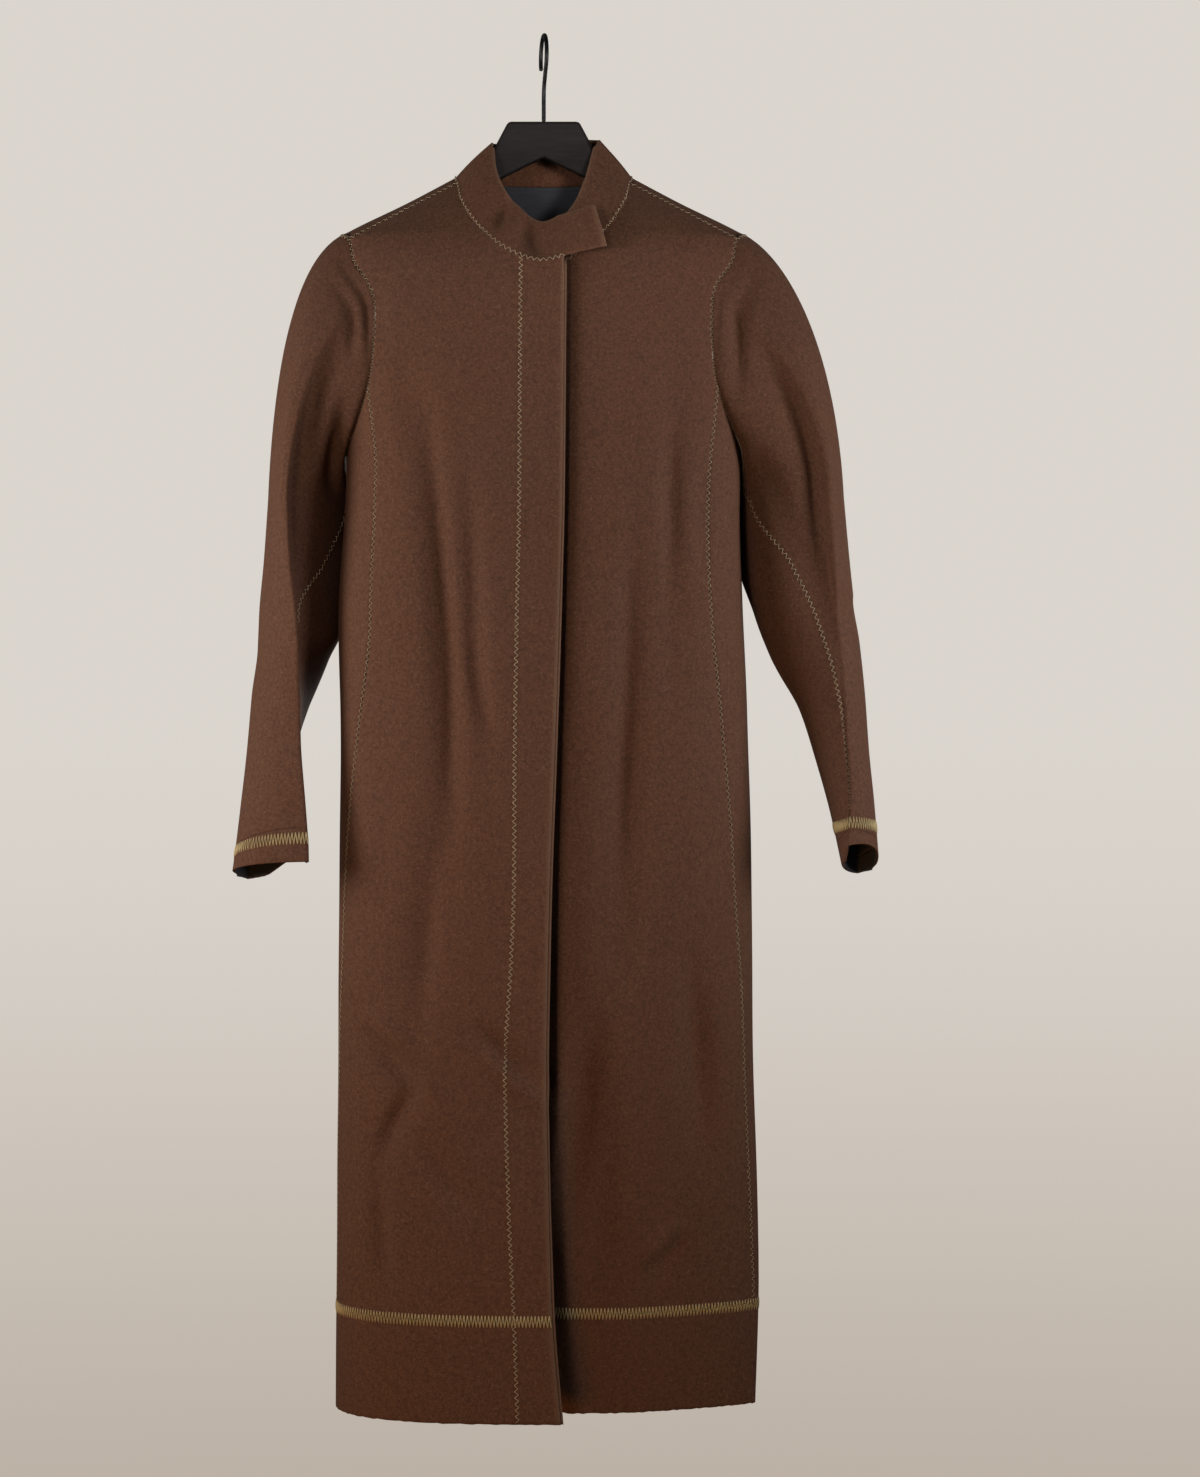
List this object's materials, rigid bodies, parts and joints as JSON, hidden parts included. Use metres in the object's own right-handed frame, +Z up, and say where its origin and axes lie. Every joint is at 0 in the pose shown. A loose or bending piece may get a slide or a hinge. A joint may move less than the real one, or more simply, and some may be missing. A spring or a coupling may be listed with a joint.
{
  "type": "riding coat on hanger",
  "caption": "Long straight riding coat of felted wool with stand collar, fly front, in-seam pockets and stitched hem band, hung on a flat wooden hanger with a wire hook.",
  "frame": {"origin": "seat inside the hook's crook, where it lies on a rail", "axes": "+Z up, the coat hangs along -Z, its front faces -Y and its own right side is on -X"},
  "size_m": [0.6122, 0.191, 1.3139],
  "materials": {
    "wool": "brown felted wool twill, matt with a soft nap",
    "lining": "navy-black lining, slight lustre",
    "wood": "black satin lacquer",
    "metal": "black satin"
  },
  "bodies": {
    "root": {"front_right": "wool", "fly_placket": "wool", "front_left": "wool", "side_right": "wool", "side_left": "wool", "back": "wool", "pocket_facing_right": "wool", "pocket_facing_left": "wool", "sleeve_right_upper": "wool", "sleeve_right_under": "wool", "sleeve_left_upper": "wool", "sleeve_left_under": "wool", "cuff_right": "wool", "cuff_left": "wool", "hem_right": "wool", "hem_left": "wool", "hem_back": "wool", "collar": "wool", "neck_lining": "lining", "neck_label": "lining", "hanger": "wood", "hook": "metal"}
  },
  "joints": []
}
